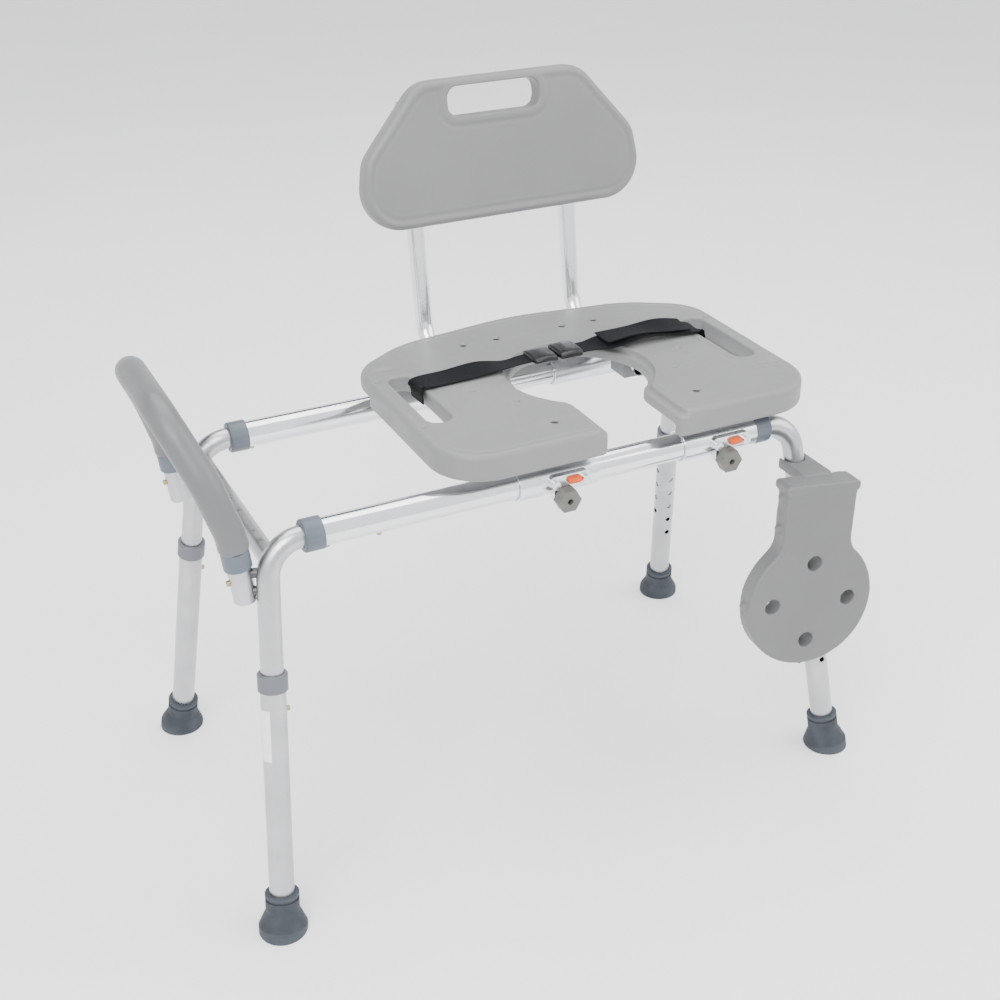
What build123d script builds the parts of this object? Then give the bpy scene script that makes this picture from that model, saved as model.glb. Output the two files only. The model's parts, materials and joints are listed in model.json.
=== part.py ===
from build123d import *
from math import atan, cos, radians, sin, tan
import os

# Bath transfer bench, millimetres. X runs along the two seat rails, Y from the front
# to the back, Z up. The bench is drawn about the point on the floor midway between its
# feet, and the export at the end moves the origin to the middle of its bounding box.

os.makedirs("parts", exist_ok=True)

# ---------------------------------------------------------------- driving sizes
FOOT_X, FOOT_Y = 380.0, 213.5        # where the leg axes meet the floor
LEAN_X, LEAN_Y = 0.1007, 0.1812      # how far a leg leans inwards for each mm of height
RAIL_Y, RAIL_Z = 131.4, 453.0        # rail axes
RAIL_HALF = 292.0                    # half length of a rail
CORNER_X = FOOT_X - LEAN_X * RAIL_Z  # where a leg axis meets its rail axis
BEND_R = 42.0

RAIL_R, RAIL_BORE = 15.875, 12.8     # 1 1/4 inch rail
UPPER_R, UPPER_BORE = 12.7, 10.9     # 1 inch upper leg
LOWER_R, LOWER_BORE = 14.3, 12.85    # 1 1/8 inch lower leg
SLEEVE_R, SLEEVE_BORE = 19.05, 17.4  # 1 1/2 inch sleeve
BRACE_R = 11.1

UPPER_START = 180.0                  # along the leg from the floor
LOWER_START, LOWER_END = 12.0, 309.0
COLLAR_START, COLLAR_END, COLLAR_R = 296.0, 317.0, 16.8
BUTTON_AT = 271.7                    # snap button, along the leg
HOLE_PITCH, HOLE_COUNT, HOLE_R = 25.4, 5, 3.6
PIN_R, PIN_OUT = 3.3, 3.6            # snap pin radius and how far it stands out
STUB_END_X = 200.0                   # inner end of a leg stub inside the rail
RAIL_PIN_X = 268.0
STOP_X = 208.0

FOOT_R, FOOT_NECK_R, FOOT_TOP = 28.0, 19.5, 47.0

SEAT_X = 107.0                       # seat centre
SEAT_TOP, SEAT_BOTTOM = 517.0, 496.0
SEAT_HALF, SEAT_FRONT = 243.0, 168.0
SKIRT_LOW, SKIRT_WALL, SKIRT_REAR = 484.0, 14.0, 70.0   # rim under the front and sides
REAR_ROUND = 5.0                     # lower edge of the seat behind the skirt
CUT_Y, CUT_R, CUT_NECK = -8.0, 92.0, 54.0   # keyhole cut-out at the top face
LEDGE_IN, LEDGE_DOWN = 8.0, 8.0             # ledge that carries the insert
SLOT_X, SLOT_Y, SLOT_W, SLOT_L = 206.0, 3.0, 30.0, 138.0

FRONT_SLEEVES = (6.5, 223.5)         # sleeve centres on the front rail
REAR_SLEEVES = (24.0, 190.0)
SLEEVE_HALF = 50.0
LOCK_OFFSET = 10.0                   # lock centre, measured from its sleeve centre

BACK_X_HALF = 108.5                  # backrest tubes, from the seat centre
BACK_TUBE_R, BACK_TUBE_BORE = 11.1, 9.5
BACK_TUBE_Z = 484.0
BACK_CORNER_Y = 206.4
BACK_LEAN = atan(0.158)
BACK_MID_Z = 732.0
BACK_SHIFT = 7.0                      # panel centre, to the right of the seat centre
BACK_HALF_THICK = 13.0
BACK_STANDOFF = 28.0                 # tube axis behind the middle of the panel

SOCKET_X, SOCKET_Y, SOCKET_LEAN = -366.0, 127.0, 0.11
SOCKET_R, SOCKET_BORE = 12.7, 11.2
SOCKET_LOW, SOCKET_HIGH = 390.0, 432.0
ARM_TUBE_R, ARM_TUBE_BORE = 11.1, 9.5
ARM_GRIP_R = 17.0
ARM_TOP_X, ARM_TOP_Z = -415.0, 596.0

INSERT_R, INSERT_NECK, INSERT_TOP, INSERT_THICK = 85.5, 47.5, 155.0, 26.0

WALL_CLEAR = 0.3

CORNERS = {"fl": (-1, -1), "bl": (-1, 1), "fr": (1, -1), "br": (1, 1)}


# ---------------------------------------------------------------- helpers
PIECES = []


def save(piece, name):
    """Label a finished piece and keep it for the export at the end."""
    piece.label = name
    PIECES.append(piece)


def leg_frame(sx, sy):
    """Local frame of one leg: z up the leg, x towards the middle of the bench."""
    direction = (-sx * LEAN_X, -sy * LEAN_Y, 1)
    return Plane(origin=(sx * FOOT_X, sy * FOOT_Y, 0), x_dir=(-sx, 0, 0), z_dir=direction)


def ray_plane(frame, along, angle=0.0):
    """Plane through the axis of a frame whose normal points out sideways at an angle."""
    side = frame.x_dir * cos(radians(angle)) + frame.y_dir * sin(radians(angle))
    return Plane(origin=frame.from_local_coords((0, 0, along)), x_dir=frame.z_dir, z_dir=side)


def section_at(path):
    """Plane square to the start of a path."""
    return Plane(origin=path @ 0, z_dir=path % 0)


def bent_tube(points, radius, outer, inner):
    """Round tube swept along straight runs joined by an arc at every corner."""
    with BuildPart() as tube:
        with BuildLine() as path:
            FilletPolyline(*points, radius=radius)
        with BuildSketch(section_at(path.wires()[0])):
            Circle(outer)
            if inner:
                Circle(inner, mode=Mode.SUBTRACT)
        sweep(path=path.wires()[0])
    return tube.part


def rail_plane(sy, x):
    """Plane across a rail at x, its normal along +X."""
    return Plane(origin=(x, sy * RAIL_Y, RAIL_Z), x_dir=(0, 1, 0), z_dir=(1, 0, 0))


# ---------------------------------------------------------------- rails
for name, sy in (("rail_front", -1), ("rail_rear", 1)):
    with BuildPart() as rail:
        with BuildSketch(rail_plane(sy, -RAIL_HALF)):
            Circle(RAIL_R)
            Circle(RAIL_BORE, mode=Mode.SUBTRACT)
        extrude(amount=2 * RAIL_HALF)
        with BuildSketch(Plane(origin=(-RAIL_PIN_X, sy * RAIL_Y, RAIL_Z), z_dir=(0, 0, -1))):
            Circle(HOLE_R)
        extrude(amount=RAIL_R + 5, mode=Mode.SUBTRACT)
        if sy < 0:
            with BuildSketch(Plane(origin=(-STOP_X, sy * RAIL_Y, RAIL_Z), z_dir=(0, 0, -1))):
                Circle(PIN_R)
            extrude(amount=RAIL_R + 5, mode=Mode.SUBTRACT)
    save(rail.part, name)

# Stop pin under the front rail, where the seat's travel ends.
with BuildPart() as carriage_stop:
    with BuildSketch(Plane(origin=(-STOP_X, -RAIL_Y, RAIL_Z - RAIL_BORE - 0.4), z_dir=(0, 0, -1))):
        Circle(PIN_R)
    extrude(amount=RAIL_R - RAIL_BORE + PIN_OUT + 0.4)
    fillet(carriage_stop.edges().sort_by(Axis.Z)[0], 1.2)
save(carriage_stop.part, "carriage_stop")

# Moulded collars that close the rail ends around the leg tubes.
COLLAR_IN, COLLAR_OUT, RAIL_COLLAR_R = 274.0, 296.3, 18.6
with BuildPart() as rail_collars:
    for sx, sy in CORNERS.values():
        with BuildSketch(rail_plane(sy, sx * COLLAR_IN)):
            Circle(RAIL_COLLAR_R)
            Circle(RAIL_R, mode=Mode.SUBTRACT)
        extrude(amount=sx * (RAIL_HALF - COLLAR_IN))
        with BuildSketch(rail_plane(sy, sx * RAIL_HALF)):
            Circle(RAIL_COLLAR_R)
            Circle(UPPER_R + WALL_CLEAR, mode=Mode.SUBTRACT)
        extrude(amount=sx * (COLLAR_OUT - RAIL_HALF))
    fillet(rail_collars.edges().filter_by(GeomType.CIRCLE).filter_by(lambda e: abs(e.radius - RAIL_COLLAR_R) < 0.01)
           .filter_by(lambda e: abs(abs(e.center().X) - COLLAR_OUT) < 0.01), 2.5)
save(rail_collars.part, "rail_collars")


# ---------------------------------------------------------------- legs
def upper_leg_points(sx, sy):
    low = leg_frame(sx, sy).from_local_coords((0, 0, UPPER_START))
    corner = (sx * CORNER_X, sy * RAIL_Y, RAIL_Z)
    stub = (sx * STUB_END_X, sy * RAIL_Y, RAIL_Z)
    return [low, corner, stub]


def upper_leg(sx, sy):
    frame = leg_frame(sx, sy)
    with BuildPart() as leg:
        add(bent_tube(upper_leg_points(sx, sy), BEND_R, UPPER_R, UPPER_BORE))
        with BuildSketch(ray_plane(frame, BUTTON_AT)):
            Circle(PIN_R + 0.2)
        extrude(amount=UPPER_R + 5, mode=Mode.SUBTRACT)
        if sx < 0:
            with BuildSketch(Plane(origin=(sx * RAIL_PIN_X, sy * RAIL_Y, RAIL_Z), z_dir=(0, 0, -1))):
                Circle(PIN_R + 0.2)
            extrude(amount=UPPER_R + 5, mode=Mode.SUBTRACT)
    return leg.part


def lower_leg(sx, sy):
    frame = leg_frame(sx, sy)
    with BuildPart() as leg:
        with BuildSketch(frame.offset(LOWER_START)):
            Circle(LOWER_R)
            Circle(LOWER_BORE, mode=Mode.SUBTRACT)
        extrude(amount=LOWER_END - LOWER_START)
        for index in range(HOLE_COUNT):
            with BuildSketch(ray_plane(frame, BUTTON_AT - index * HOLE_PITCH)):
                Circle(HOLE_R)
            extrude(amount=LOWER_R + 5, mode=Mode.SUBTRACT)
            with BuildSketch(ray_plane(frame, BUTTON_AT - (index + 1.5) * HOLE_PITCH, 90)):
                Circle(HOLE_R)
            extrude(amount=LOWER_R + 5, mode=Mode.SUBTRACT)
    return leg.part


def leg_collar(sx, sy):
    frame = leg_frame(sx, sy)
    with BuildPart() as collar:
        with BuildSketch(frame.offset(COLLAR_START)):
            Circle(COLLAR_R)
            Circle(LOWER_R, mode=Mode.SUBTRACT)
        extrude(amount=LOWER_END - COLLAR_START)
        with BuildSketch(frame.offset(LOWER_END)):
            Circle(COLLAR_R)
            Circle(UPPER_R + WALL_CLEAR, mode=Mode.SUBTRACT)
        extrude(amount=COLLAR_END - LOWER_END)
        rims = collar.edges().filter_by(GeomType.CIRCLE).filter_by(lambda e: abs(e.radius - COLLAR_R) < 0.01)
        chamfer(rims, 1.2)
    return collar.part


def foot(sx, sy):
    frame = leg_frame(sx, sy)
    wall = Plane(origin=frame.origin, x_dir=frame.x_dir, z_dir=frame.x_dir.cross(frame.z_dir))
    with BuildPart() as tip:
        with BuildSketch(wall):
            with BuildLine():
                Polyline((0, -8), (FOOT_R, -8), (FOOT_R, 7), (FOOT_R - 1.5, 10), (FOOT_NECK_R + 2, 21),
                         (FOOT_NECK_R, 25), (FOOT_NECK_R, FOOT_TOP - 7), (FOOT_NECK_R - 1.2, FOOT_TOP - 7),
                         (FOOT_NECK_R - 1.2, FOOT_TOP - 4), (FOOT_NECK_R, FOOT_TOP - 4),
                         (FOOT_NECK_R, FOOT_TOP), (LOWER_R, FOOT_TOP), (LOWER_R, LOWER_START),
                         (0, LOWER_START), close=True)
            make_face()
        revolve(axis=Axis(frame.origin, frame.z_dir))
        with BuildSketch(Plane.XY):
            with Locations((sx * FOOT_X, sy * FOOT_Y)):
                Rectangle(120, 120)
        extrude(amount=-40, mode=Mode.SUBTRACT)
    return tip.part


def snap_pin(plane, out, start=5.0):
    """Round-nosed pin that stands out of a tube along the plane's normal."""
    with BuildPart() as pin:
        with BuildSketch(plane.offset(start)):
            Circle(PIN_R)
        extrude(amount=out - start)
        fillet(pin.faces().sort_by(Axis(plane.origin, plane.z_dir))[-1].edges(), 1.3)
    return pin.part


def leaf_spring(plane, seat, far, length):
    """V-shaped leaf inside a tube: one arm behind the pin, the other against the far wall."""
    along, out = plane.x_dir, plane.z_dir
    with BuildPart() as leaf:
        with BuildSketch(Plane(origin=plane.origin, x_dir=along, z_dir=along.cross(out))):
            with BuildLine():
                Polyline((7, seat), (-length, -0.4), (7, -far), (7, -far + 0.9), (-length + 7, 0.2),
                         (7, seat - 0.9), close=True)
            make_face()
        extrude(amount=3.2, both=True)
    return leaf.part


springs = {-1: [], 1: []}
for tag, (sx, sy) in CORNERS.items():
    frame = leg_frame(sx, sy)
    save(upper_leg(sx, sy), f"upper_leg_{tag}")
    save(lower_leg(sx, sy), f"lower_leg_{tag}")
    save(leg_collar(sx, sy), f"leg_collar_{tag}")
    save(foot(sx, sy), f"foot_{tag}")
    button_plane = ray_plane(frame, BUTTON_AT)
    save(snap_pin(button_plane, LOWER_R + PIN_OUT), f"leg_button_{tag}")
    springs[sx].append(leaf_spring(button_plane, 5.0, 9.0, 34.0))

for name, sy in (("rail_button_front", -1), ("rail_button_rear", 1)):
    rail_pin_plane = Plane(origin=(-RAIL_PIN_X, sy * RAIL_Y, RAIL_Z), x_dir=(-1, 0, 0), z_dir=(0, 0, -1))
    save(snap_pin(rail_pin_plane, RAIL_R + PIN_OUT), name)
    springs[-1].append(leaf_spring(rail_pin_plane, 5.0, 9.0, 30.0))

for name, sx in (("snap_springs_left", -1), ("snap_springs_right", 1)):
    with BuildPart() as snap_springs:
        for leaf in springs[sx]:
            add(leaf)
    save(snap_springs.part, name)


# ---------------------------------------------------------------- end braces
BRACE_Z = 432.0
for name, sx in (("brace_left", -1), ("brace_right", 1)):
    brace_x = sx * (FOOT_X - LEAN_X * BRACE_Z - 5)
    with BuildPart() as brace:
        with BuildSketch(Plane(origin=(brace_x, -RAIL_Y, BRACE_Z), z_dir=(0, 1, 0))):
            Circle(BRACE_R)
            Circle(BRACE_R - 1.6, mode=Mode.SUBTRACT)
        extrude(amount=2 * RAIL_Y)
        for sy in (-1, 1):
            add(bent_tube(upper_leg_points(sx, sy), BEND_R, UPPER_R, 0), mode=Mode.SUBTRACT)
    longest = brace.solids().sort_by(SortBy.VOLUME)[-1]
    save(Part(longest.wrapped), name)


# ---------------------------------------------------------------- armrest
def socket_frame(sy):
    """Local frame of an armrest socket, z up along the socket axis."""
    return Plane(origin=(SOCKET_X, sy * SOCKET_Y, 430.0), x_dir=(-1, 0, 0), z_dir=(-SOCKET_LEAN, 0, 1))


SOCKET_PIN = -14.0                    # snap pin below the socket frame's origin
SOCKET_BOTTOM = SOCKET_LOW - 430.0
SOCKET_TOP = SOCKET_HIGH - 430.0
for name, sy in (("socket_front", -1), ("socket_rear", 1)):
    frame = socket_frame(sy)
    with BuildPart() as socket:
        with BuildSketch(frame.offset(SOCKET_BOTTOM)):
            Circle(SOCKET_R)
            Circle(SOCKET_BORE, mode=Mode.SUBTRACT)
        extrude(amount=SOCKET_TOP - SOCKET_BOTTOM)
        with BuildSketch(ray_plane(frame, SOCKET_PIN)):
            Circle(HOLE_R)
        extrude(amount=SOCKET_R + 5, mode=Mode.SUBTRACT)
    save(socket.part, name)

# Two spacers with their bolts hold each socket off its leg.
SPACER_R = 5.5
SPACER_HEIGHTS = (402.0, 423.0)
with BuildPart() as socket_bolts:
    for sy in (-1, 1):
        for height in SPACER_HEIGHTS:
            on_socket = Vector(SOCKET_X - SOCKET_LEAN * (height - 430.0), sy * SOCKET_Y, height)
            on_leg = Vector(-(FOOT_X - LEAN_X * height), sy * (FOOT_Y - LEAN_Y * height), height)
            across = (on_leg - on_socket).normalized()
            reach = (on_leg - on_socket).length
            with BuildSketch(Plane(origin=on_socket + across * (SOCKET_R - 2), z_dir=across)):
                Circle(SPACER_R)
            extrude(amount=reach - SOCKET_R - UPPER_R + 4)
        add(bent_tube(upper_leg_points(-1, sy), BEND_R, UPPER_R, 0), mode=Mode.SUBTRACT)
        with BuildSketch(socket_frame(sy).offset(SOCKET_BOTTOM - 10)):
            Circle(SOCKET_R)
        extrude(amount=90, mode=Mode.SUBTRACT)
save(socket_bolts.part, "socket_bolts")

ARM_STEP = 0.5                        # gap between socket rim and collar
ARM_FOOT = -36.0                      # lower end of the arm tube, in the socket frame


def arm_points(end):
    """Arch route from the front socket to the rear one, tube ends at a given depth."""
    front, rear = socket_frame(-1), socket_frame(1)
    rise = ARM_TOP_Z - 430.0
    shoulder_z = 430.0 + 0.60 * rise
    shoulder_x = SOCKET_X - SOCKET_LEAN * 0.6 * rise - 11.0
    knee = (SOCKET_X - SOCKET_LEAN * 42.0, SOCKET_Y, 472.0)
    shoulder = (shoulder_x, SOCKET_Y - 10.0, shoulder_z)
    crown = (ARM_TOP_X, 72.0, ARM_TOP_Z)
    half = [front.from_local_coords((0, 0, end))]
    half += [Vector(x, -y, z) for x, y, z in (knee, shoulder, crown)]
    other = [Vector(p.X, -p.Y, p.Z) for p in reversed(half)]
    return half + other


ARM_RADII = [60, 90, 62, 62, 90, 60]
ARM_GRIP_START = 24.0
with BuildPart() as arm_tube:
    add(bent_tube(arm_points(ARM_FOOT), ARM_RADII, ARM_TUBE_R, ARM_TUBE_BORE))
    for sy in (-1, 1):
        with BuildSketch(ray_plane(socket_frame(sy), SOCKET_PIN)):
            Circle(PIN_R + 0.2)
        extrude(amount=ARM_TUBE_R + 5, mode=Mode.SUBTRACT)
save(arm_tube.part, "arm_tube")

arm_grip = bent_tube(arm_points(ARM_GRIP_START), ARM_RADII, ARM_GRIP_R, ARM_TUBE_R)
save(arm_grip, "arm_grip")

with BuildPart() as arm_collars:
    for sy in (-1, 1):
        frame = socket_frame(sy)
        with BuildSketch(frame.offset(SOCKET_TOP + ARM_STEP)):
            Circle(15.6)
            Circle(ARM_TUBE_R, mode=Mode.SUBTRACT)
        extrude(amount=ARM_GRIP_START - SOCKET_TOP - ARM_STEP)
save(arm_collars.part, "arm_collars")

with BuildPart() as arm_springs:
    for name, sy in (("arm_button_front", -1), ("arm_button_rear", 1)):
        pin_plane = ray_plane(socket_frame(sy), SOCKET_PIN)
        save(snap_pin(pin_plane, SOCKET_R + PIN_OUT, 4.5), name)
        add(leaf_spring(pin_plane, 4.5, 8.0, 20.0))
save(arm_springs.part, "arm_springs")


# ---------------------------------------------------------------- seat carriage
SEAT_PLANE = Plane(origin=(SEAT_X, 0, SEAT_TOP))
CUT_PLANE = Plane(origin=(SEAT_X, CUT_Y, SEAT_TOP))
MOUTH_R = 12.0


def seat_outline():
    """Seat outline: straight front and sides, rounded corners, bowed rear edge."""
    FilletPolyline((-SEAT_HALF, -SEAT_FRONT), (SEAT_HALF, -SEAT_FRONT), (SEAT_HALF, 118), (165, 168), (0, 192),
                   (-165, 168), (-SEAT_HALF, 118), radius=[62, 62, 60, 130, 300, 130, 60], close=True)


def keyhole(inset, depth):
    """Keyhole cutter for the seat: a disc, a neck with soft corners and a flared mouth."""
    half = CUT_NECK - inset
    mouth = -SEAT_FRONT - CUT_Y
    with BuildPart() as cutter:
        with BuildSketch(CUT_PLANE) as face:
            Circle(CUT_R - inset)
            with Locations((0, -SEAT_FRONT / 2)):
                Rectangle(2 * half, SEAT_FRONT)
            fillet(face.vertices().filter_by(lambda v: v.Y > -100), 24)
            with Locations((0, mouth)):
                Rectangle(2 * (half + MOUTH_R), 2 * MOUTH_R)
            with Locations((-half - MOUTH_R, mouth + MOUTH_R), (half + MOUTH_R, mouth + MOUTH_R)):
                Circle(MOUTH_R, mode=Mode.SUBTRACT)
        extrude(amount=-depth)
    return cutter.part


FRONT_SCREWS = [(-94, -122), (94, -122)]
REAR_SCREWS = [(-93.5, 125), (-47.5, 125), (47.5, 125), (93.5, 125)]
DIMPLES = [(-141, -6), (141, -6), (-107, -54), (107, -54),
           (-232, 70), (232, 70), (-232, -68), (232, -68)]
with BuildPart() as seat:
    with BuildSketch(SEAT_PLANE):
        with BuildLine():
            seat_outline()
        make_face()
    extrude(amount=-(SEAT_TOP - SEAT_BOTTOM))
    fillet(seat.faces().sort_by(Axis.Z)[0].edges(), REAR_ROUND)
    with BuildSketch(SEAT_PLANE.offset(SKIRT_LOW - SEAT_TOP)):
        with BuildLine():
            seat_outline()
        make_face()
        offset(amount=-SKIRT_WALL, mode=Mode.SUBTRACT)
        with Locations((0, SKIRT_REAR + SEAT_HALF)):
            Rectangle(4 * SEAT_HALF, 2 * SEAT_HALF, mode=Mode.SUBTRACT)
    extrude(amount=SEAT_BOTTOM - SKIRT_LOW + REAR_ROUND + 1)
    fillet(seat.faces().sort_by(Axis.Z)[-1].edges(), 8)
    fillet(seat.faces().sort_by(Axis.Z)[0].edges(), 3.5)
    add(keyhole(0, LEDGE_DOWN), mode=Mode.SUBTRACT)
    add(keyhole(LEDGE_IN, SEAT_TOP - SKIRT_LOW + 2), mode=Mode.SUBTRACT)
    with BuildSketch(SEAT_PLANE):
        with Locations((-SLOT_X, SLOT_Y), (SLOT_X, SLOT_Y)):
            RectangleRounded(SLOT_W, SLOT_L, 13)
    extrude(amount=-40, mode=Mode.SUBTRACT)
    with BuildSketch(SEAT_PLANE):
        with Locations(*FRONT_SCREWS, *REAR_SCREWS):
            Circle(5.2)
        with Locations(*DIMPLES):
            Circle(3.5)
    extrude(amount=-5, mode=Mode.SUBTRACT)
    with BuildSketch(SEAT_PLANE):
        with Locations((-214, 98), (216, -92)):
            Ellipse(16, 8)
    extrude(amount=-3, mode=Mode.SUBTRACT)
save(seat.part, "seat")

SLEEVES = {"sleeve_front_left": (FRONT_SLEEVES[0], -1), "sleeve_front_right": (FRONT_SLEEVES[1], -1),
           "sleeve_rear_left": (REAR_SLEEVES[0], 1), "sleeve_rear_right": (REAR_SLEEVES[1], 1)}
for name, (x, sy) in SLEEVES.items():
    with BuildPart() as sleeve:
        with BuildSketch(rail_plane(sy, x - SLEEVE_HALF)):
            Circle(SLEEVE_R)
            Circle(SLEEVE_BORE, mode=Mode.SUBTRACT)
        extrude(amount=2 * SLEEVE_HALF)
    save(sleeve.part, name)

LINER_L = 24.0
with BuildPart() as sleeve_liners:
    for x, sy in SLEEVES.values():
        for start in (x - SLEEVE_HALF + 1, x + SLEEVE_HALF - LINER_L - 1):
            with BuildSketch(rail_plane(sy, start)):
                Circle(SLEEVE_BORE)
                Circle(RAIL_R + 0.25, mode=Mode.SUBTRACT)
            extrude(amount=LINER_L)
save(sleeve_liners.part, "sleeve_liners")

# Bosses that stand on the sleeves and carry the seat.
with BuildPart() as seat_mounts:
    with BuildSketch(Plane(origin=(SEAT_X, 0, SEAT_BOTTOM))):
        with Locations(*[(x, -RAIL_Y + 5) for x, y in FRONT_SCREWS]):
            Circle(9)
        with Locations(*[(x, RAIL_Y - 5) for x, y in REAR_SCREWS]):
            Circle(9)
    extrude(amount=-(SEAT_BOTTOM - RAIL_Z - 8))
    for sy in (-1, 1):
        with BuildSketch(rail_plane(sy, -200)):
            Circle(SLEEVE_R)
        extrude(amount=600, mode=Mode.SUBTRACT)
    with BuildSketch(Plane(origin=(SEAT_X, 0, BACK_TUBE_Z), z_dir=(0, 1, 0), x_dir=(1, 0, 0))):
        with Locations((-BACK_X_HALF, 0), (BACK_X_HALF, 0)):
            Rectangle(2 * BACK_TUBE_R + 1, 60)
    extrude(amount=200, mode=Mode.SUBTRACT)
save(seat_mounts.part, "seat_mounts")

with BuildPart() as seat_screws:
    with BuildSketch(Plane(origin=(SEAT_X, 0, SEAT_TOP - 5))):
        with Locations(*FRONT_SCREWS, *REAR_SCREWS):
            Circle(4.6)
    extrude(amount=2.6)
save(seat_screws.part, "seat_screws")

# Clamp locks on the front sleeves: body, clamp knob and release button.
LOCK_FRONT = -RAIL_Y - SLEEVE_R
LOCK_XS = [x + LOCK_OFFSET for x in FRONT_SLEEVES]
BUTTON_DX, BUTTON_Z = 5.0, 457.0
BUTTON_ROOM, BUTTON_FACE = 3.2, 8.8     # back and front of the button, measured from the sleeve
KNOB_DX, KNOB_Z, KNOB_R, KNOB_DEPTH = -7.0, 437.0, 14.0, 14.0
with BuildPart() as lock_bodies:
    for x in LOCK_XS:
        with BuildSketch(Plane(origin=(x, -RAIL_Y - 10, 457), z_dir=(0, -1, 0), x_dir=(1, 0, 0))):
            RectangleRounded(50, 15, 5)
        extrude(amount=SLEEVE_R - 10 + 4)
        with BuildSketch(Plane(origin=(x, -RAIL_Y - 10, 455), z_dir=(0, -1, 0), x_dir=(1, 0, 0))):
            with Locations((-19, 0), (19, 0)):
                Circle(5)
        extrude(amount=SLEEVE_R - 10 + 9)
        with BuildSketch(Plane(origin=(x + KNOB_DX, -RAIL_Y - 8, KNOB_Z + 3), z_dir=(0, -1, 0), x_dir=(1, 0, 0))):
            RectangleRounded(20, 22, 5)
        extrude(amount=SLEEVE_R - 8 - 1)
        with BuildSketch(Plane(origin=(x + BUTTON_DX, -RAIL_Y, BUTTON_Z), z_dir=(0, -1, 0), x_dir=(1, 0, 0))):
            RectangleRounded(18.2, 8.6, 4.2)
        extrude(amount=SLEEVE_R + 12, mode=Mode.SUBTRACT)
        with BuildSketch(Plane(origin=(x + KNOB_DX, -RAIL_Y, KNOB_Z), z_dir=(0, -1, 0), x_dir=(1, 0, 0))):
            Circle(3.3)
        extrude(amount=SLEEVE_R + 12, mode=Mode.SUBTRACT)
    for x in FRONT_SLEEVES:
        with BuildSketch(rail_plane(-1, x - 60)):
            Circle(SLEEVE_R)
        extrude(amount=120, mode=Mode.SUBTRACT)
save(lock_bodies.part, "lock_bodies")

KNOB_BACK = -RAIL_Y - SLEEVE_R - 4.6
for name, x in zip(("lock_knob_left", "lock_knob_right"), LOCK_XS):
    knob_plane = Plane(origin=(x + KNOB_DX, KNOB_BACK, KNOB_Z), z_dir=(0, -1, 0), x_dir=(1, 0, 0))
    with BuildPart() as lock_knob:
        with BuildSketch(knob_plane):
            RegularPolygon(KNOB_R + 1, 6)
            with PolarLocations(KNOB_R + 2.2, 6, start_angle=30):
                Circle(3.4, mode=Mode.SUBTRACT)
        extrude(amount=KNOB_DEPTH)
        fillet(lock_knob.faces().sort_by(Axis.Y)[0].outer_wire().edges(), 1.5)
        with BuildSketch(knob_plane.offset(KNOB_DEPTH)):
            Circle(3.6)
        extrude(amount=-7, mode=Mode.SUBTRACT)
        with BuildSketch(knob_plane):
            Circle(3.0)
        extrude(amount=-5.5)
    save(lock_knob.part, name)

for name, x in zip(("lock_button_left", "lock_button_right"), LOCK_XS):
    with BuildPart() as lock_button:
        with BuildSketch(Plane(origin=(x + BUTTON_DX, LOCK_FRONT - BUTTON_ROOM, BUTTON_Z), z_dir=(0, -1, 0),
                               x_dir=(1, 0, 0))):
            RectangleRounded(17.6, 8.0, 3.9)
        extrude(amount=BUTTON_FACE - BUTTON_ROOM)
        fillet(lock_button.faces().sort_by(Axis.Y)[0].edges(), 1.6)
    save(lock_button.part, name)

# Straps under the seat that hold the backrest tubes.
RECEIVER_WIDTH, RECEIVER_LOW = 34.0, 467.0
with BuildPart() as back_receivers:
    for sx in (-1, 1):
        x = SEAT_X + sx * BACK_X_HALF
        for y_from, y_to in ((40, 72), (151.5, 164)):
            with BuildSketch(Plane(origin=(x, y_from, (SEAT_BOTTOM + RECEIVER_LOW) / 2), z_dir=(0, 1, 0),
                                   x_dir=(1, 0, 0))):
                RectangleRounded(RECEIVER_WIDTH, SEAT_BOTTOM - RECEIVER_LOW, 3)
                with Locations((0, (SEAT_BOTTOM + RECEIVER_LOW) / 2 - BACK_TUBE_Z)):
                    Circle(BACK_TUBE_R + 0.2, mode=Mode.SUBTRACT)
            extrude(amount=y_to - y_from)
save(back_receivers.part, "back_receivers")


# ---------------------------------------------------------------- backrest
def back_tube_points(x):
    top_z = 794.0
    return [(x, 26, BACK_TUBE_Z), (x, BACK_CORNER_Y, BACK_TUBE_Z),
            (x, BACK_CORNER_Y + tan(BACK_LEAN) * (top_z - BACK_TUBE_Z), top_z)]


with BuildPart() as back_tubes:
    for sx in (-1, 1):
        points = back_tube_points(SEAT_X + sx * BACK_X_HALF)
        add(bent_tube(points, 45, BACK_TUBE_R, BACK_TUBE_BORE))
save(back_tubes.part, "back_tubes")

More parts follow.
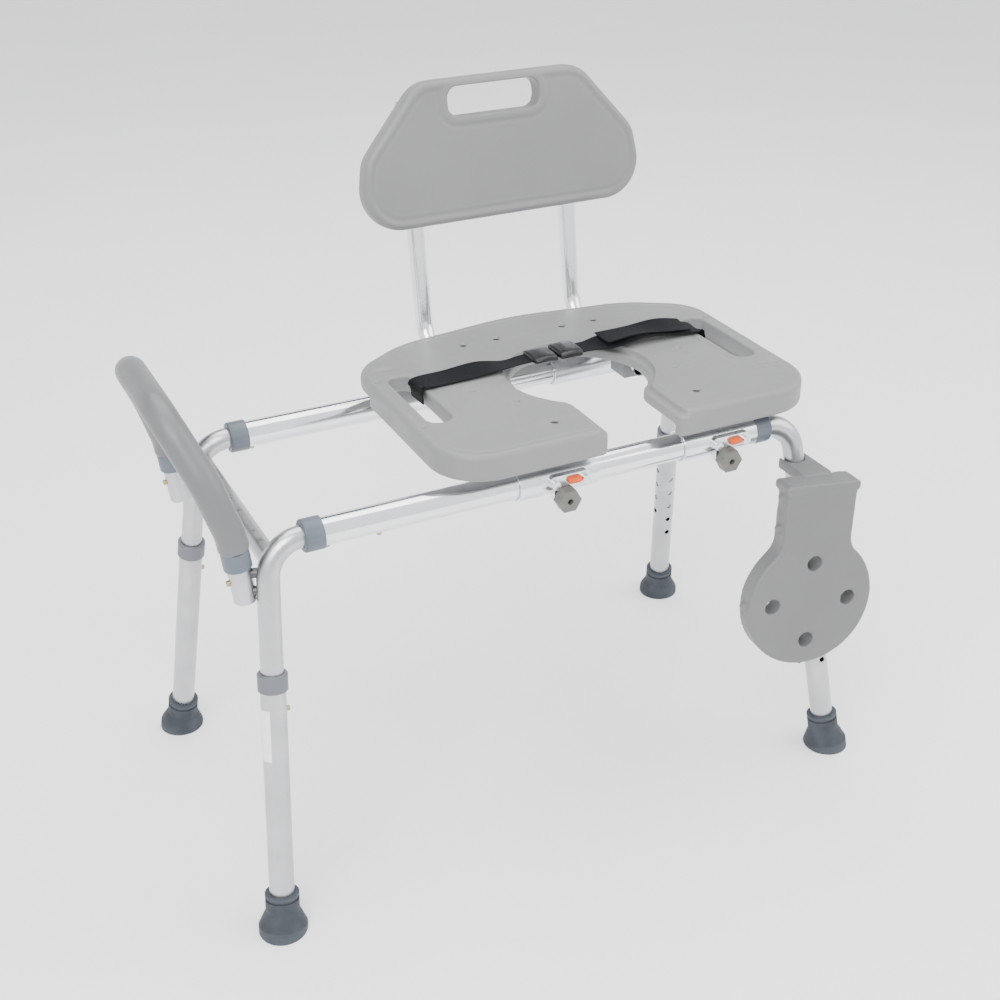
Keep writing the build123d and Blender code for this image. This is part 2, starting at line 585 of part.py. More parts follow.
BACK_TUBE_AT_MID = BACK_CORNER_Y + tan(BACK_LEAN) * (BACK_MID_Z - BACK_TUBE_Z)
BACK_PLANE = Plane(origin=(SEAT_X + BACK_SHIFT, BACK_TUBE_AT_MID - BACK_STANDOFF / cos(BACK_LEAN), BACK_MID_Z),
                   x_dir=(1, 0, 0), z_dir=(0, -cos(BACK_LEAN), sin(BACK_LEAN)))
with BuildPart() as backrest:
    with BuildSketch(BACK_PLANE.offset(-BACK_HALF_THICK)):
        with BuildLine():
            FilletPolyline((-202, -83), (202, -83), (187, 6), (112, 92), (-112, 92), (-187, 6),
                           radius=[50, 50, 40, 46, 46, 40], close=True)
        make_face()
    extrude(amount=2 * BACK_HALF_THICK)
    fillet(backrest.faces().sort_by(Axis(BACK_PLANE.origin, BACK_PLANE.z_dir))[-1].edges(), 9)
    fillet(backrest.faces().sort_by(Axis(BACK_PLANE.origin, BACK_PLANE.z_dir))[0].edges(), 6)
    with BuildSketch(BACK_PLANE.offset(-30)):
        with Locations((-10, 64)):
            RectangleRounded(126, 36, 14)
    extrude(amount=60, mode=Mode.SUBTRACT)
    with BuildSketch(BACK_PLANE.offset(-BACK_HALF_THICK)):
        with Locations(*[(sx * BACK_X_HALF - BACK_SHIFT, v) for sx in (-1, 1) for v in (-52, 22)]):
            Rectangle(30, 40)
    extrude(amount=-(BACK_STANDOFF - BACK_HALF_THICK - 3))
    for sx in (-1, 1):
        add(bent_tube(back_tube_points(SEAT_X + sx * BACK_X_HALF), 45, BACK_TUBE_R, 0), mode=Mode.SUBTRACT)
save(backrest.part, "backrest")


# ---------------------------------------------------------------- seat belt
BELT_Y, BELT_HALF, BELT_LOW, BELT_THICK = 37.0, 21.0, SEAT_TOP + 1.0, 3.0
BUCKLE_X, BUCKLE_LEN = SEAT_X - 12.0, 34.0
SLOT_EDGE = SLOT_X - SLOT_W / 2
for name, side in (("belt_left", -1), ("belt_right", 1)):
    near = BUCKLE_X + side * BUCKLE_LEN + side * 0.4
    far = SEAT_X + side * (SLOT_EDGE + 3)
    with BuildPart() as belt:
        with BuildSketch(Plane(origin=(0, BELT_Y + BELT_HALF, 0), z_dir=(0, -1, 0), x_dir=(1, 0, 0))):
            with BuildLine():
                Polyline((near, BELT_LOW), (far - side * 2, BELT_LOW), (far - side * 2, SEAT_BOTTOM + 2),
                         (far + side * BELT_THICK, SEAT_BOTTOM + 2), (far + side * BELT_THICK, BELT_LOW + BELT_THICK),
                         (near, BELT_LOW + BELT_THICK), close=True)
            make_face()
        extrude(amount=2 * BELT_HALF)
    save(belt.part, name)

for name, side in (("buckle_plug", -1), ("buckle_socket", 1)):
    with BuildPart() as buckle:
        with BuildSketch(Plane(origin=(BUCKLE_X + side * (BUCKLE_LEN / 2 + 0.15), BELT_Y, BELT_LOW))):
            RectangleRounded(BUCKLE_LEN - 0.3, 50, 6)
        extrude(amount=12)
        fillet(buckle.faces().sort_by(Axis.Z)[-1].edges(), 3)
    save(buckle.part, name)


# ---------------------------------------------------------------- stored cut-out insert
YAW, PITCH, ROLL = radians(-6.9), radians(-5.0), radians(4.0)
INSERT_AT = Vector(320.5, -225.0, 245.0)
across = Vector(cos(YAW), sin(YAW), 0)
upright = Vector(0, 0, 1) * cos(PITCH) + Vector(0, 1, 0) * sin(-PITCH)
outward = across.cross(upright).normalized()
upright = outward.cross(across).normalized()
level = (across * cos(ROLL) - upright * sin(ROLL)).normalized()
INSERT_PLANE = Plane(origin=INSERT_AT, x_dir=level, z_dir=outward)
LIP_HALF, LIP_DEPTH = 50.0, 34.0
with BuildPart() as insert:
    with BuildSketch(INSERT_PLANE) as insert_face:
        Circle(INSERT_R)
        with Locations((0, INSERT_TOP / 2)):
            Rectangle(2 * INSERT_NECK, INSERT_TOP)
        necks = insert_face.vertices().filter_by(lambda v: abs(v.X) < INSERT_NECK + 1 and v.Y < 100)
        fillet(necks, 30)
    extrude(amount=-INSERT_THICK)
    fillet(insert.faces().sort_by(Axis(INSERT_AT, outward))[-1].edges(), 3)
    with BuildSketch(INSERT_PLANE.offset(2)):
        with Locations((0, INSERT_TOP - 2)):
            RectangleRounded(2 * LIP_HALF, 13, 5)
    extrude(amount=-LIP_DEPTH)
    with BuildSketch(INSERT_PLANE.offset(-8)):
        with Locations((-INSERT_NECK, 140), (INSERT_NECK, 140), (-INSERT_NECK, 100), (INSERT_NECK, 100),
                       (INSERT_R, 0), (-INSERT_R, 0), (0, -INSERT_R)):
            Circle(5.5)
    extrude(amount=-10)
    with BuildSketch(INSERT_PLANE.offset(10)):
        with PolarLocations(52.5, 4, start_angle=0):
            Circle(10)
    extrude(amount=-60, mode=Mode.SUBTRACT)

# Storage hook behind the insert's top lip: an open saddle that pushes onto the front right leg.
HOOK_LOW, HOOK_HIGH = 391.0, 404.0    # above the leg collar's travel, below the leg's bend
HOOK_WIDTH, HOOK_DEPTH, HOOK_FORWARD = 38.0, 66.0, 24.0
hook_leg = leg_frame(1, -1)
hook_mid = (HOOK_LOW + HOOK_HIGH) / 2
with BuildPart() as insert_hook:
    with BuildSketch(Plane.XY.offset(HOOK_LOW)):
        with Locations((FOOT_X - LEAN_X * hook_mid, -FOOT_Y + LEAN_Y * hook_mid - HOOK_FORWARD)):
            RectangleRounded(HOOK_WIDTH, HOOK_DEPTH, 4)
    extrude(amount=HOOK_HIGH - HOOK_LOW)
    with BuildSketch(hook_leg.offset(UPPER_START)):
        Circle(UPPER_R + 0.4)
        with Locations((0, -60)):
            Rectangle(2 * UPPER_R + 0.8, 120)
    extrude(amount=260, mode=Mode.SUBTRACT)
    with BuildSketch(INSERT_PLANE.offset(-INSERT_THICK + 1)):
        Rectangle(600, 900)
    extrude(amount=200, mode=Mode.SUBTRACT)
with BuildPart() as insert_with_hook:
    add(insert.part)
    add(insert_hook.part)
save(insert_with_hook.part, "insert")


# ---------------------------------------------------------------- export
box = Compound(children=[Part(piece.wrapped) for piece in PIECES]).bounding_box()
middle = box.center()
print("bounding box", box.min, box.max)
for piece in PIECES:
    name = piece.label
    placed = piece.moved(Location((-middle.X, -middle.Y, 0)))
    placed.label = name
    export_step(placed, f"parts/{name}.step")
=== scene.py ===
import json
from math import cos, exp, pi, radians, sin

import bmesh
import bpy
from mathutils import Matrix, Vector
from mathutils.kdtree import KDTree


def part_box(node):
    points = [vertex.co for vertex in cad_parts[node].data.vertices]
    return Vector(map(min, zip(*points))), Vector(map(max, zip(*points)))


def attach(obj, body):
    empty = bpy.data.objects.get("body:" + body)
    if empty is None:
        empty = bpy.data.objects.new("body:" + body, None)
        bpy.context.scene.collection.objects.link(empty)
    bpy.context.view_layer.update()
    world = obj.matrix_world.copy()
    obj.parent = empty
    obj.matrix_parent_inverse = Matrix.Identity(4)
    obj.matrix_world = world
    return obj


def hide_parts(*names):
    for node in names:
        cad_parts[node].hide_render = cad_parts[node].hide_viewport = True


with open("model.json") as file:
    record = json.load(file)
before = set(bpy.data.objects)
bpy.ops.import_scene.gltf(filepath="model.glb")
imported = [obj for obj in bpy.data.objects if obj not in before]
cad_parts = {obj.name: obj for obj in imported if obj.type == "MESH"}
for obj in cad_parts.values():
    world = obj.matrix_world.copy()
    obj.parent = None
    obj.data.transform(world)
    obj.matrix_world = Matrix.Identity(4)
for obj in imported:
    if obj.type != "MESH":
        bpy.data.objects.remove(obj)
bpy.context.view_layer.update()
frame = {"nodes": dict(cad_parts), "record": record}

nodes = frame["nodes"]


def corner_mean(names):
    """Middle of several nodes' boxes."""
    boxes = [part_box(name) for name in names]
    return sum((low + high for low, high in boxes), Vector()) / (2 * len(boxes))


LEGS = ("fl", "bl", "fr", "br")
foot_middle = corner_mean([f"foot_{tag}" for tag in LEGS])

# ---------------------------------------------------------------- camera
CAMERA_FROM_FEET = Vector((-0.7032, -1.4532))
CAMERA_HEIGHT = 1.2476
CAMERA_AT = Vector((*(foot_middle.xy + CAMERA_FROM_FEET), CAMERA_HEIGHT))
AZIMUTH, ELEVATION, ROLL = radians(-25.92), radians(28.83), radians(-0.43)
LENS, SENSOR = 53.56, 36.0

camera_data = bpy.data.cameras.new("camera")
camera_data.lens, camera_data.sensor_width = LENS, SENSOR
camera = bpy.data.objects.new("camera", camera_data)
bpy.context.scene.collection.objects.link(camera)
back = Vector((sin(AZIMUTH) * cos(ELEVATION), -cos(AZIMUTH) * cos(ELEVATION), sin(ELEVATION)))
right = (-back).cross(Vector((0, 0, 1))).normalized()
up = right.cross(-back).normalized()
right, up = right * cos(ROLL) + up * sin(ROLL), up * cos(ROLL) - right * sin(ROLL)
turn = Matrix((right, up, back)).transposed().to_4x4()
camera.matrix_world = Matrix.Translation(CAMERA_AT) @ turn
bpy.context.scene.camera = camera


# ---------------------------------------------------------------- light and floor
LIGHT_AIM = Vector((0, 0, 0.4))


def area_light(name, place, size, power):
    data = bpy.data.lights.new(name, "AREA")
    data.size, data.energy = size, power
    lamp = bpy.data.objects.new(name, data)
    lamp.location = place
    lamp.rotation_euler = (LIGHT_AIM - Vector(place)).to_track_quat("-Z", "Y").to_euler()
    bpy.context.scene.collection.objects.link(lamp)


area_light("key", (-1.6, -1.9, 2.8), 2.2, 120)
area_light("fill", (2.4, -1.2, 1.9), 2.4, 50)
area_light("top", (0.2, 0.8, 3.0), 2.6, 78)

# A bright room with a dark band between wall and ceiling, for bright metal to reflect.
ROOM_STRENGTH = 1.75
ROOM_COLOR, CARD_COLOR = (0.97, 0.98, 1.0, 1), (0.015, 0.02, 0.035, 1)
world = bpy.data.worlds.new("studio")
world.use_nodes = True
sky = world.node_tree
background = sky.nodes["Background"]
background.inputs["Strength"].default_value = ROOM_STRENGTH
direction = sky.nodes.new("ShaderNodeTexCoord").outputs["Generated"]
split = sky.nodes.new("ShaderNodeSeparateXYZ")
sky.links.new(direction, split.inputs[0])


def band(axis, *stops):
    """Grey level of the room by direction along one axis."""
    ramp = sky.nodes.new("ShaderNodeValToRGB")
    elements = ramp.color_ramp.elements
    while len(elements) < len(stops):
        elements.new(0.5)
    for element, (position, level) in zip(elements, stops):
        element.position, element.color = position, (level, level, level, 1)
    sky.links.new(split.outputs[axis], ramp.inputs["Fac"])
    return ramp.outputs["Color"]


card = sky.nodes.new("ShaderNodeMath")
card.operation = "MULTIPLY"
sky.links.new(band("Z", (0.38, 0), (0.44, 1), (0.76, 1), (0.84, 0)), card.inputs[0])
sky.links.new(band("Y", (0.12, 0), (0.30, 1)), card.inputs[1])
room = sky.nodes.new("ShaderNodeMix")
room.data_type = "RGBA"
room.inputs[6].default_value = ROOM_COLOR
room.inputs[7].default_value = CARD_COLOR
sky.links.new(card.outputs["Value"], room.inputs["Factor"])
sky.links.new(room.outputs[2], background.inputs["Color"])
bpy.context.scene.world = world


# ---------------------------------------------------------------- materials
NOISE_SPAN = (0.3, 0.7)                 # where nearly all of a noise texture's values lie
EDGE_REACH = (0.52, 0.60)               # pointiness at which edge wear starts and is full


class Shader:
    """A principled material with short helpers for its procedural nodes."""

    def __init__(self, name):
        self.material = bpy.data.materials.new(name)
        self.material.use_nodes = True
        self.tree = self.material.node_tree
        self.base = self.tree.nodes["Principled BSDF"]
        self.place = self.new("ShaderNodeTexCoord").outputs["Object"]

    def new(self, kind, **settings):
        node = self.tree.nodes.new(kind)
        for key, value in settings.items():
            setattr(node, key, value)
        return node

    def link(self, source, target):
        self.tree.links.new(source, target)

    def noise(self, scale, detail=4.0, stretch=(1, 1, 1)):
        mapping = self.new("ShaderNodeMapping")
        mapping.inputs["Scale"].default_value = stretch
        texture = self.new("ShaderNodeTexNoise")
        texture.inputs["Scale"].default_value = scale
        texture.inputs["Detail"].default_value = detail
        self.link(self.place, mapping.inputs["Vector"])
        self.link(mapping.outputs["Vector"], texture.inputs["Vector"])
        return texture.outputs["Fac"]

    def ramp(self, source, *stops):
        node = self.new("ShaderNodeValToRGB")
        elements = node.color_ramp.elements
        while len(elements) < len(stops):
            elements.new(0.5)
        for element, (position, color) in zip(elements, stops):
            element.position = position
            element.color = (*color, 1)
        self.link(source, node.inputs["Fac"])
        return node.outputs["Color"]

    def remap(self, source, low, high):
        node = self.new("ShaderNodeMapRange")
        for socket, value in zip(("From Min", "From Max"), NOISE_SPAN):
            node.inputs[socket].default_value = value
        node.inputs["To Min"].default_value, node.inputs["To Max"].default_value = low, high
        self.link(source, node.inputs["Value"])
        return node.outputs["Result"]

    def mix(self, factor, first, second):
        node = self.new("ShaderNodeMix", data_type="RGBA")
        sockets = (node.inputs["Factor"], node.inputs[6], node.inputs[7])
        for value, socket in zip((factor, first, second), sockets):
            if isinstance(value, tuple):
                socket.default_value = (*value, 1)
            else:
                self.link(value, socket)
        return node.outputs[2]

    def bumps(self, *layers):
        normal = None
        for height, strength, distance in layers:
            node = self.new("ShaderNodeBump")
            node.inputs["Strength"].default_value = strength
            node.inputs["Distance"].default_value = distance
            self.link(height, node.inputs["Height"])
            if normal:
                self.link(normal, node.inputs["Normal"])
            normal = node.outputs["Normal"]
        self.link(normal, self.base.inputs["Normal"])

    def worn_edges(self, color, edge_color):
        """Lightens the convex edges."""
        pointed = self.new("ShaderNodeNewGeometry").outputs["Pointiness"]
        edge = self.ramp(pointed, (EDGE_REACH[0], (0, 0, 0)), (EDGE_REACH[1], (1, 1, 1)))
        return self.mix(edge, color, edge_color)

    def set(self, **values):
        for key, value in values.items():
            self.base.inputs[key.replace("_", " ")].default_value = value

    def finish(self, color, rough):
        self.link(color, self.base.inputs["Base Color"])
        self.link(rough, self.base.inputs["Roughness"])
        return self.material


def shade(color, factor):
    return tuple(min(1.0, c * factor) for c in color)


def plastic(name, color, rough=(0.40, 0.52), grain=1500, depth=0.00012):
    """Moulded plastic: fine spark texture, slow colour drift, scuffed edges."""
    s = Shader(name)
    drift = s.noise(7, 5)
    tone = s.ramp(drift, (0.3, shade(color, 0.94)), (0.7, shade(color, 1.06)))
    tone = s.worn_edges(tone, shade(color, 1.30))
    s.bumps((s.noise(grain, 2), 0.35, depth), (s.noise(28, 3), 0.12, 0.0006))
    s.set(Specular_IOR_Level=0.42)
    return s.finish(tone, s.remap(s.noise(60, 6), *rough))


def metal(name, color, rough, stretch=(1, 1, 1), grain=700, depth=0.00003, dull=0.86):
    """Drawn or plated metal: fine lines along the tube, faint smears and dull patches."""
    s = Shader(name)
    lines = s.noise(grain, 3, stretch)
    smear = s.noise(22, 6)
    tone = s.ramp(smear, (0.35, shade(color, dull)), (0.65, color))
    s.bumps((lines, 0.25, depth))
    s.set(Metallic=1.0)
    return s.finish(tone, s.remap(s.noise(90, 5, stretch), *rough))


def rubber(name, color):
    s = Shader(name)
    dusty = s.ramp(s.noise(34, 7), (0.38, color), (0.72, shade(color, 1.7)))
    s.bumps((s.noise(900, 2), 0.4, 0.0002))
    s.set(Specular_IOR_Level=0.3)
    return s.finish(s.worn_edges(dusty, shade(color, 1.8)), s.remap(s.noise(70, 4), 0.62, 0.78))


def webbing(name, color):
    """Woven belt: ribs across the width, ridges along it, and a soft sheen."""
    s = Shader(name)
    waves = []
    for direction, scale in (("X", 260), ("Y", 190)):
        wave = s.new("ShaderNodeTexWave", wave_type="BANDS", bands_direction=direction)
        wave.inputs["Scale"].default_value = scale
        wave.inputs["Distortion"].default_value = 0.4
        s.link(s.place, wave.inputs["Vector"])
        waves.append(wave.outputs["Fac"])
    fuzz = s.noise(1100, 3)
    tone = s.ramp(waves[0], (0.2, shade(color, 0.6)), (0.8, shade(color, 1.9)))
    s.bumps((waves[0], 0.6, 0.0004), (waves[1], 0.35, 0.0003), (fuzz, 0.2, 0.0002))
    s.set(Sheen_Weight=0.02, Sheen_Roughness=0.5, Specular_IOR_Level=0.10)
    return s.finish(tone, s.remap(fuzz, 0.62, 0.8))


MATERIALS = {
    "chrome_tube": metal("chrome", (0.83, 0.84, 0.86), (0.10, 0.20), (0.05, 1, 1), dull=0.95),
    "satin_aluminium": metal("satin aluminium", (0.50, 0.505, 0.515), (0.26, 0.38), (1, 1, 0.04)),
    "bright_sleeve": metal("bright sleeve", (0.86, 0.88, 0.91), (0.16, 0.27), (0.05, 1, 1)),
    "nylon_liner": plastic("nylon liner", (0.72, 0.72, 0.69)),
    "grey_collar": plastic("grey collar", (0.100, 0.108, 0.120)),
    "blue_grey_collar": plastic("blue grey collar", (0.072, 0.086, 0.106), (0.34, 0.46)),
    "foot_rubber": rubber("foot rubber", (0.028, 0.032, 0.039)),
    "brass_pin": metal("brass pin", (0.42, 0.37, 0.20), (0.30, 0.42)),
    "orange_plastic": plastic("orange plastic", (0.62, 0.075, 0.004), (0.34, 0.44)),
    "knob_plastic": plastic("knob plastic", (0.105, 0.104, 0.092), (0.44, 0.56)),
    "zinc_bracket": metal("zinc bracket", (0.76, 0.77, 0.80), (0.20, 0.32)),
    "dark_steel": metal("dark steel", (0.10, 0.10, 0.11), (0.36, 0.48)),
    "spring_steel": metal("spring steel", (0.50, 0.50, 0.52), (0.26, 0.36)),
    "seat_plastic": plastic("seat plastic", (0.185, 0.186, 0.187), (0.38, 0.50)),
    "back_plastic": plastic("back plastic", (0.168, 0.169, 0.170), (0.38, 0.50)),
    "dark_grey_plastic": plastic("dark grey plastic", (0.132, 0.133, 0.134), (0.42, 0.54)),
    "grip_plastic": plastic("grip plastic", (0.125, 0.128, 0.134), (0.30, 0.42)),
    "belt_webbing": webbing("belt webbing", (0.0022, 0.0024, 0.0036)),
    "buckle_plastic": plastic("buckle plastic", (0.0035, 0.0035, 0.0045), (0.24, 0.34)),
}
for row in frame["record"]["subparts"]:
    data = nodes[row["node"]].data
    data.materials.clear()
    data.materials.append(MATERIALS[row["material_slot"]])


# ---------------------------------------------------------------- pieces
def add_object(name, mesh):
    obj = bpy.data.objects.new(name, mesh)
    bpy.context.scene.collection.objects.link(obj)
    return obj


def baked(obj):
    """Applies the object's modifiers to its mesh."""
    bpy.context.view_layer.update()
    evaluated = obj.evaluated_get(bpy.context.evaluated_depsgraph_get())
    mesh = bpy.data.meshes.new_from_object(evaluated)
    obj.modifiers.clear()
    obj.data = mesh
    return obj


def settle(obj, slot, body, *replaced):
    obj.data.materials.clear()
    obj.data.materials.append(MATERIALS[slot])
    for polygon in obj.data.polygons:
        polygon.use_smooth = True
    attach(obj, body)
    if replaced:
        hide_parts(*replaced)
    return obj


def moulded(name, node, voxel, rounds):
    """A blow-moulded shell with an even, softened skin, made from a node's own shape."""
    mesh = nodes[node].data.copy()
    work = bmesh.new()
    work.from_mesh(mesh)
    bmesh.ops.remove_doubles(work, verts=work.verts, dist=1e-6)
    work.to_mesh(mesh)
    work.free()
    obj = add_object(name, mesh)
    skin = obj.modifiers.new("skin", "REMESH")
    skin.mode, skin.voxel_size = "VOXEL", voxel
    soft = obj.modifiers.new("soft", "SMOOTH")
    soft.factor, soft.iterations = 0.5, rounds
    return baked(obj)


WALL_BAND = (0.0065, 0.0135)            # depth below the face at which its side walls are read
WALL_CELL = 0.001
WALL_FACING, FRONT_FACING = 0.35, 0.6   # how far a point's normal may lean to count as wall or face


def press_rim(obj, normal, inset, width, depth, floor_drop=0.0):
    """Presses a rounded groove into the face along normal, evenly in from its edge."""
    normal = Vector(normal).normalized()
    # Read before any point moves: each move would make the mesh work out all its normals again.
    points = [(v.co.copy(), v.normal.dot(normal)) for v in obj.data.vertices]
    reach = max(place.dot(normal) for place, facing in points)
    walls = {}
    for place, facing in points:
        height = place.dot(normal)
        if abs(facing) < WALL_FACING and WALL_BAND[0] < reach - height < WALL_BAND[1]:
            flat = place - normal * height
            walls.setdefault(tuple(round(c / WALL_CELL) for c in flat), flat)
    tree = KDTree(len(walls))
    for index, flat in enumerate(walls.values()):
        tree.insert(flat, index)
    tree.balance()
    moved = []
    for place, facing in points:
        height = place.dot(normal)
        if facing > FRONT_FACING and reach - height < WALL_BAND[0]:
            away = tree.find(place - normal * height)[2]
            groove = depth * exp(-((away - inset) / width) ** 2)
            inner = floor_drop * min(1.0, max(0.0, (away - inset) / (2 * width)))
            place = place - normal * (groove + inner)
        moved.extend(place)
    obj.data.vertices.foreach_set("co", moved)
    obj.data.update()


SEAT_VOXEL, PANEL_VOXEL, GRIP_VOXEL = 0.0022, 0.0020, 0.0022
seat = moulded("seat_shell", "seat", SEAT_VOXEL, 3)
press_rim(seat, (0, 0, 1), inset=0.0105, width=0.0030, depth=0.0010)
settle(seat, "seat_plastic", "carriage", "seat")

BACK_LEAN = 0.158
panel = moulded("backrest_shell", "backrest", PANEL_VOXEL, 3)
press_rim(panel, (0, -1, BACK_LEAN), inset=0.0125, width=0.0036, depth=0.0021, floor_drop=0.0016)
settle(panel, "back_plastic", "backrest", "backrest")

insert = moulded("insert_shell", "insert", PANEL_VOXEL, 2)
settle(insert, "dark_grey_plastic", "insert", "insert")

grip = moulded("arm_grip_shell", "arm_grip", GRIP_VOXEL, 3)
settle(grip, "grip_plastic", "armrest", "arm_grip")

# Hard parts keep their own shape; broad faces get even shading.
REPLACED = {"seat", "backrest", "insert", "arm_grip",
            "belt_left", "belt_right", "buckle_plug", "buckle_socket"}
for name, node in nodes.items():
    if name not in REPLACED:
        even = node.modifiers.new("even", "WEIGHTED_NORMAL")
        even.weight, even.keep_sharp = 100, True


# ---------------------------------------------------------------- seat belt
def spline_points(points, steps=10):
    """Catmull-Rom curve through (place, width, roll) stations."""
    stations = [points[0], *points, points[-1]]
    out = []
    for before, start, end, after in zip(stations, stations[1:], stations[2:], stations[3:]):
        for step in range(steps):
            t = step / steps
            out.append(tuple(0.5 * (2 * b + (c - a) * t + (2 * a - 5 * b + 4 * c - d) * t * t
                                    + (3 * b - a - 3 * c + d) * t ** 3)
                             for a, b, c, d in zip(before, start, end, after)))
    out.append(tuple(points[-1]))
    return out


def face_grid(work, grid):
    for a, b in zip(grid, grid[1:]):
        for k in range(len(a) - 1):
            work.faces.new((a[k], a[k + 1], b[k + 1], b[k]))


RIBS = (-1.0, -0.86, -0.45, 0.0, 0.45, 0.86, 1.0)
WEB_THICK = 0.0014


def ribbon(name, stations, curl):
    """Webbing band: stations are (x, y, z, width, roll); curl lifts its edges."""
    rows = spline_points(stations)
    length = sum((Vector(b[:3]) - Vector(a[:3])).length for a, b in zip(rows, rows[1:]))
    work = bmesh.new()
    grid = []
    for index, row in enumerate(rows):
        place, width, roll = Vector(row[:3]), row[3], row[4]
        after, before = rows[min(index + 1, len(rows) - 1)], rows[max(index - 1, 0)]
        ahead = Vector(after[:3]) - Vector(before[:3])
        ahead.normalize()
        side = Vector((0, 1, 0)) - ahead * ahead.y
        side.normalize()
        lift = ahead.cross(side)
        if lift.z < 0:
            lift.negate()
        across = side * cos(roll) + lift * sin(roll)
        over = lift * cos(roll) - side * sin(roll)
        grid.append([work.verts.new(place + across * (width / 2 * rib) + over * (curl * rib * rib))
                     for rib in RIBS])
    face_grid(work, grid)
    mesh = bpy.data.meshes.new(name)
    work.to_mesh(mesh)
    work.free()
    obj = add_object(name, mesh)
    thick = obj.modifiers.new("thick", "SOLIDIFY")
    thick.thickness, thick.offset = WEB_THICK, 0.0
    fine = obj.modifiers.new("fine", "SUBSURF")
    fine.levels = fine.render_levels = 1
    return baked(obj), length


left_low, left_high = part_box("belt_left")
right_low, right_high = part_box("belt_right")
plug_low, plug_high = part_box("buckle_plug")
socket_low, socket_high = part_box("buckle_socket")
belt_y = (left_low.y + left_high.y) / 2
BELT_WIDTH = 0.038
BELT_BELOW_TOP, JOINT_RISE = 0.0015, 0.0035
belt_z = left_high.z - BELT_BELOW_TOP
joint_z = belt_z + JOINT_RISE


def left_x(share):
    return left_low.x + (left_high.x - left_low.x) * share


def right_x(share):
    return right_high.x + (right_low.x - right_high.x) * share


# Stations are (x, y, z, width, roll), from the hand slot in towards the buckle.
left_stations = [
    (left_low.x + 0.0012, belt_y - 0.004, left_low.z + 0.002, BELT_WIDTH, 0.0),
    (left_low.x + 0.0012, belt_y - 0.003, belt_z - 0.006, BELT_WIDTH, 0.0),
    (left_low.x + 0.0065, belt_y - 0.001, belt_z, BELT_WIDTH, 0.0),
    (left_x(0.30), belt_y + 0.001, belt_z, BELT_WIDTH, 0.03),
    (left_x(0.58), belt_y + 0.001, belt_z + 0.0025, BELT_WIDTH * 0.98, 0.06),
    (left_x(0.80), belt_y - 0.001, belt_z + 0.0020, BELT_WIDTH * 0.80, -0.10),
    (left_x(0.93), belt_y - 0.001, joint_z, BELT_WIDTH * 0.72, -0.05),
    (left_high.x + 0.004, belt_y, joint_z, BELT_WIDTH * 0.72, 0.0),
]
right_stations = [
    (right_high.x - 0.0012, belt_y - 0.003, right_low.z + 0.002, BELT_WIDTH, 0.0),
    (right_high.x - 0.0012, belt_y - 0.002, belt_z - 0.006, BELT_WIDTH, 0.0),
    (right_high.x - 0.0065, belt_y, belt_z, BELT_WIDTH, 0.0),
    (right_x(0.22), belt_y + 0.001, belt_z + 0.004, BELT_WIDTH, 0.10),
    (right_x(0.50), belt_y + 0.002, belt_z + 0.005, BELT_WIDTH, -0.12),
    (right_x(0.76), belt_y + 0.001, belt_z + 0.004, BELT_WIDTH * 0.96, 0.12),
    (right_x(0.92), belt_y, joint_z, BELT_WIDTH * 0.80, 0.0),
    (right_low.x - 0.004, belt_y, joint_z, BELT_WIDTH * 0.80, 0.0),
]
fold_stations = [
    (right_x(0.10), belt_y + 0.003, belt_z + 0.0048, BELT_WIDTH * 0.96, 0.05),
    (right_x(0.30), belt_y + 0.004, belt_z + 0.0095, BELT_WIDTH * 0.96, 0.12),
    (right_x(0.55), belt_y + 0.005, belt_z + 0.0100, BELT_WIDTH * 0.96, -0.08),
    (right_x(0.80), belt_y + 0.003, belt_z + 0.0090, BELT_WIDTH * 0.92, 0.04),
]


belts = (("belt_strap_left", left_stations, 0.0004, "belt_left"),
         ("belt_strap_right", right_stations, 0.0006, "belt_right"),
         ("belt_fold", fold_stations, 0.0010, "belt_right"))
for name, stations, curl, node in belts:
    strap, length = ribbon(name, stations, curl)
    settle(strap, "belt_webbing", "carriage", node)


BUCKLE_DROP, BUCKLE_CROWN = 0.0005, 0.0007
BUCKLE_WIDTH_SHARE = 0.84               # of the CAD solid's width
PLUG_WAIST, SOCKET_WAIST = 0.16, 0.05


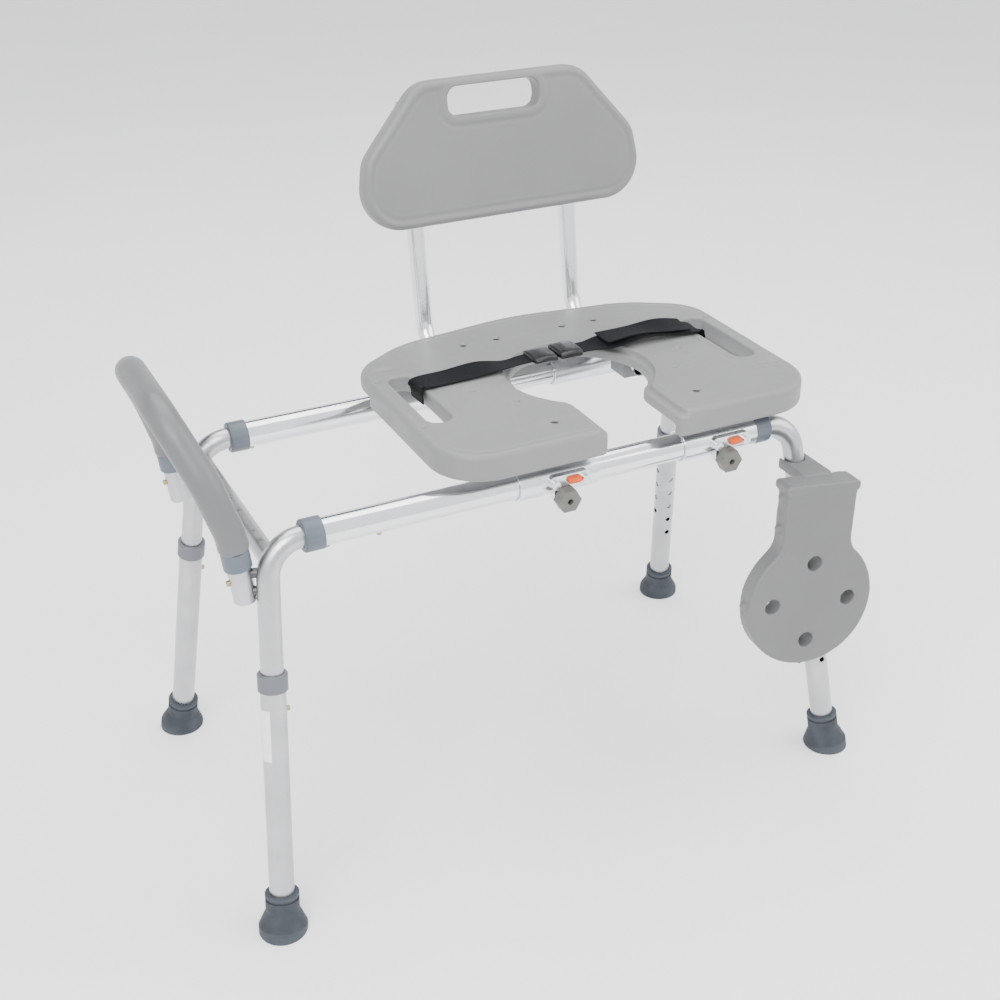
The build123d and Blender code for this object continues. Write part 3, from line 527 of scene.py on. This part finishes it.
def buckle_half(name, low, high, rise, node, waist_depth):
    """Rounded buckle body with a waist and a raised centre."""
    middle = (low + high) / 2
    half = (high - low) / 2
    bottom, top = belt_z - BUCKLE_DROP, belt_z - BUCKLE_DROP + rise
    rows, columns = 14, 18
    work = bmesh.new()
    rings = []
    for i in range(rows + 1):
        u = -1 + 2 * i / rows
        edge = max(0.0, 1 - abs(u) ** 8) ** 0.125
        waist = 1 - waist_depth * (1 - u * u)
        half_y = half.y * BUCKLE_WIDTH_SHARE * waist * (0.72 + 0.28 * edge)
        half_z = (top - bottom) / 2 * (0.45 + 0.55 * edge)
        ring = []
        for k in range(columns):
            angle = 2 * pi * k / columns
            c, s = cos(angle), sin(angle)
            y = half_y * abs(c) ** 0.45 * (1 if c >= 0 else -1)
            z = half_z * abs(s) ** 0.7 * (1 if s >= 0 else -1)
            if s > 0.3 and abs(u) < 0.6:
                z += BUCKLE_CROWN * cos(u * pi * 0.8)
            place = (middle.x + half.x * u, middle.y + y, (bottom + top) / 2 + z)
            ring.append(work.verts.new(place))
        rings.append(ring)
    for a, b in zip(rings, rings[1:]):
        for k in range(columns):
            work.faces.new((a[k], a[(k + 1) % columns], b[(k + 1) % columns], b[k]))
    work.faces.new(rings[0][::-1])
    work.faces.new(rings[-1])
    bmesh.ops.recalc_face_normals(work, faces=work.faces)
    mesh = bpy.data.meshes.new(name)
    work.to_mesh(mesh)
    work.free()
    obj = add_object(name, mesh)
    fine = obj.modifiers.new("fine", "SUBSURF")
    fine.levels = fine.render_levels = 2
    settle(baked(obj), "buckle_plastic", "carriage", node)


buckle_half("buckle_plug_body", plug_low, plug_high, 0.0088, "buckle_plug", PLUG_WAIST)
buckle_half("buckle_socket_body", socket_low, socket_high, 0.0104, "buckle_socket", SOCKET_WAIST)


# ---------------------------------------------------------------- blank label, front left leg
LABEL_LOW, LABEL_HIGH, LABEL_PROUD, LEG_RADIUS = 0.211, 0.271, 0.00025, 0.0143
LABEL_TURN = radians(56)
PAPER_THICK = 0.0002
FOOT_REACH = Vector((0.380, 0.2135))    # from the feet's middle to the leg's axis at the floor
leg_lean = Vector((0.1007, 0.1812, 1.0))
foot_axis = Vector((*(foot_middle.xy - FOOT_REACH), 0))
label_mesh = bpy.data.meshes.new("leg_label")
work = bmesh.new()
up_leg = leg_lean.normalized()
outside = Vector((-1, 0, 0)) - up_leg * up_leg.dot(Vector((-1, 0, 0)))
outside.normalize()
around = up_leg.cross(outside)
columns, strips = 12, 6
grid = []
for row in range(strips + 1):
    height = LABEL_LOW + (LABEL_HIGH - LABEL_LOW) * row / strips
    centre = foot_axis + leg_lean * height
    line = []
    for column in range(columns + 1):
        angle = LABEL_TURN * (2 * column / columns - 1)
        outward = outside * cos(angle) + around * sin(angle)
        line.append(work.verts.new(centre + outward * (LEG_RADIUS + LABEL_PROUD)))
    grid.append(line)
face_grid(work, grid)
bmesh.ops.recalc_face_normals(work, faces=work.faces)
work.to_mesh(label_mesh)
work.free()
label = add_object("leg_label", label_mesh)
paper = label.modifiers.new("paper", "SOLIDIFY")
paper.thickness, paper.offset = PAPER_THICK, 1.0
baked(label)
paper_shader = Shader("label paper")
paper_tone = paper_shader.ramp(paper_shader.noise(120, 5),
                               (0.3, (0.80, 0.80, 0.79)), (0.7, (0.88, 0.88, 0.87)))
paper_shader.bumps((paper_shader.noise(600, 3), 0.2, 0.0001))
paper_rough = paper_shader.remap(paper_shader.noise(200, 3), 0.4, 0.55)
label.data.materials.clear()
label.data.materials.append(paper_shader.finish(paper_tone, paper_rough))
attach(label, "leg_fl")


# ---------------------------------------------------------------- floor
FLOOR_HALF = 6.0
floor_mesh = bpy.data.meshes.new("floor")
corners = [(x * FLOOR_HALF, y * FLOOR_HALF, 0) for x, y in ((-1, -1), (1, -1), (1, 1), (-1, 1))]
floor_mesh.from_pydata(corners, [], [(0, 1, 2, 3)])
floor = add_object("floor", floor_mesh)
floor_shader = Shader("floor")
floor_tone = floor_shader.ramp(floor_shader.noise(3),
                               (0.3, (0.93, 0.93, 0.935)), (0.7, (0.96, 0.96, 0.96)))
floor_rough = floor_shader.remap(floor_shader.noise(9), 0.7, 0.85)
floor_mesh.materials.append(floor_shader.finish(floor_tone, floor_rough))
